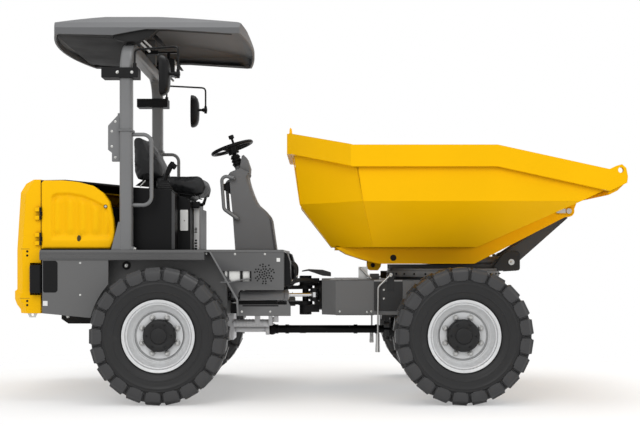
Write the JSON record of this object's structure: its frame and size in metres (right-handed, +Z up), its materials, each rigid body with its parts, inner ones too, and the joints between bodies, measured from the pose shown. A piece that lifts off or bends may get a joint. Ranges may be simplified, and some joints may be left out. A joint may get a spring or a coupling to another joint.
{
  "type": "articulated site dumper",
  "caption": "Articulated four-wheel site dumper with a swivelling forward-tipping skip, operator seat behind a column, roll bar and hard canopy.",
  "frame": {"origin": "on the ground, under the middle of the overall box", "axes": "+X forward to the skip, +Y to the driver's left, +Z up"},
  "size_m": [4.428, 1.95, 2.865],
  "materials": {
    "chassis_grey": "satin powder coat with dust",
    "dumper_yellow": "glossy paint",
    "black_plastic": "fine textured moulding",
    "tyre_rubber": "worn rubber",
    "rim_silver": "silver paint",
    "hub_dark": "satin",
    "axle_dark": "painted casting",
    "ram_grey": "satin",
    "ram_rod": "polished",
    "roof_plastic": "moulded",
    "post_grey": "satin",
    "seat_vinyl": "grained vinyl",
    "zinc": "zinc plated",
    "lamp_black": "moulded with lenses",
    "mirror_black": "moulded"
  },
  "bodies": {
    "rear_chassis": {"rear_axle": "axle_dark", "rear_frame": "chassis_grey", "centre_fork": "chassis_grey", "deck": "chassis_grey", "side_panels": "chassis_grey", "under_guard": "chassis_grey", "engine": "axle_dark", "gearbox": "ram_grey", "tail_lamps": "lamp_black", "lashing_eyes": "zinc", "rear_hood": "dumper_yellow", "shroud": "black_plastic", "seat_base": "black_plastic", "seat_cushion": "seat_vinyl", "seat_back": "seat_vinyl", "joystick": "black_plastic", "steering_console": "black_plastic", "console_grab_bar": "post_grey", "roll_bar_lower": "post_grey", "roll_bar_upper": "post_grey", "canopy": "roof_plastic", "grab_rails": "post_grey", "mirrors": "mirror_black"},
    "door_left": {"engine_door_left": "dumper_yellow"},
    "door_right": {"engine_door_right": "dumper_yellow"},
    "steering_wheel": {"steering_wheel": "black_plastic"},
    "pivot_yoke": {"pivot_yoke": "chassis_grey"},
    "front_chassis": {"front_frame": "chassis_grey", "front_axle": "axle_dark", "turntable": "chassis_grey", "locking_levers": "zinc", "skip_latch": "zinc"},
    "swivel_console": {"swivel_console": "chassis_grey"},
    "skip": {"skip_tub": "dumper_yellow", "skip_rim": "dumper_yellow", "skip_underframe": "dumper_yellow"},
    "tip_barrel": {"tip_barrel": "ram_grey"},
    "tip_rod": {"tip_rod": "ram_rod"},
    "steer_barrel": {"steer_barrel": "ram_grey"},
    "steer_rod": {"steer_rod": "ram_rod"},
    "prop_shaft": {"prop_shaft": "axle_dark"},
    "wheel_front_left": {"tyre_front_left": "tyre_rubber", "rim_front_left": "rim_silver", "hub_front_left": "hub_dark"},
    "wheel_front_right": {"tyre_front_right": "tyre_rubber", "rim_front_right": "rim_silver", "hub_front_right": "hub_dark"},
    "wheel_rear_left": {"tyre_rear_left": "tyre_rubber", "rim_rear_left": "rim_silver", "hub_rear_left": "hub_dark"},
    "wheel_rear_right": {"tyre_rear_right": "tyre_rubber", "rim_rear_right": "rim_silver", "hub_rear_right": "hub_dark"}
  },
  "joints": [
    {"name": "steer", "type": "hinge", "parent": "rear_chassis", "child": "pivot_yoke", "pos_m": [-0.084, 0, 0.745], "axis": [0, 0, 1], "range_deg": [-33, 33]},
    {"name": "oscillate", "type": "hinge", "parent": "pivot_yoke", "child": "front_chassis", "pos_m": [0.046, 0, 0.745], "axis": [1, 0, 0], "range_deg": [-10, 10]},
    {"name": "skip_swivel", "type": "hinge", "parent": "front_chassis", "child": "swivel_console", "pos_m": [1.01, 0, 0.9403], "axis": [0, 0, 1], "range_deg": [-90, 90]},
    {"name": "skip_tip", "type": "hinge", "parent": "swivel_console", "child": "skip", "pos_m": [1.96, 0, 1.405], "axis": [0, 1, 0], "range_deg": [0, 72]},
    {"name": "tip_ram_swing", "type": "hinge", "parent": "swivel_console", "child": "tip_barrel", "pos_m": [1.53, 0, 1.008], "axis": [0, 1, 0], "range_deg": [0, 77]},
    {"name": "tip_ram_slide", "type": "slide", "parent": "tip_barrel", "child": "tip_rod", "axis": [-0.9993, 0, 0.0365], "range_m": [0, 0.69]},
    {"name": "steer_ram_swing", "type": "hinge", "parent": "rear_chassis", "child": "steer_barrel", "pos_m": [-0.62, -0.44, 0.757], "axis": [0, 0, 1], "range_deg": [-3, 3]},
    {"name": "steer_ram_slide", "type": "slide", "parent": "steer_barrel", "child": "steer_rod", "axis": [0.9542, 0.2992, 0], "range_m": [-0.15, 0.15]},
    {"name": "prop_shaft_swing", "type": "hinge", "parent": "rear_chassis", "child": "prop_shaft", "pos_m": [-0.351, 0, 0.4735], "axis": [0, 0, 1], "range_deg": [-25, 25]},
    {"name": "steering_wheel_turn", "type": "hinge", "parent": "rear_chassis", "child": "steering_wheel", "pos_m": [-0.67, 0, 1.918], "axis": [-0.3256, 0, 0.9455], "continuous": true},
    {"name": "door_left_open", "type": "hinge", "parent": "rear_chassis", "child": "door_left", "pos_m": [-2.003, 0.712, 1.35], "axis": [0, 0, 1], "range_deg": [0, 100]},
    {"name": "door_right_open", "type": "hinge", "parent": "rear_chassis", "child": "door_right", "pos_m": [-2.003, -0.712, 1.35], "axis": [0, 0, -1], "range_deg": [0, 100]},
    {"name": "wheel_front_left_roll", "type": "hinge", "parent": "front_chassis", "child": "wheel_front_left", "pos_m": [1.048, 0.8, 0.4875], "axis": [0, 1, 0], "continuous": true},
    {"name": "wheel_front_right_roll", "type": "hinge", "parent": "front_chassis", "child": "wheel_front_right", "pos_m": [1.048, -0.8, 0.4875], "axis": [0, 1, 0], "continuous": true},
    {"name": "wheel_rear_left_roll", "type": "hinge", "parent": "rear_chassis", "child": "wheel_rear_left", "pos_m": [-1.112, 0.8, 0.4875], "axis": [0, 1, 0], "continuous": true},
    {"name": "wheel_rear_right_roll", "type": "hinge", "parent": "rear_chassis", "child": "wheel_rear_right", "pos_m": [-1.112, -0.8, 0.4875], "axis": [0, 1, 0], "continuous": true}
  ],
  "couplings": [
    {"joint": "tip_ram_swing", "follows": "skip_tip", "ratio": 1.0542},
    {"joint": "tip_ram_slide", "follows": "skip_tip", "m_per_rad": 0.54344},
    {"joint": "steer_ram_swing", "follows": "steer", "ratio": -0.03898},
    {"joint": "steer_ram_slide", "follows": "steer", "m_per_rad": 0.2443},
    {"joint": "prop_shaft_swing", "follows": "steer", "ratio": 0.72}
  ]
}
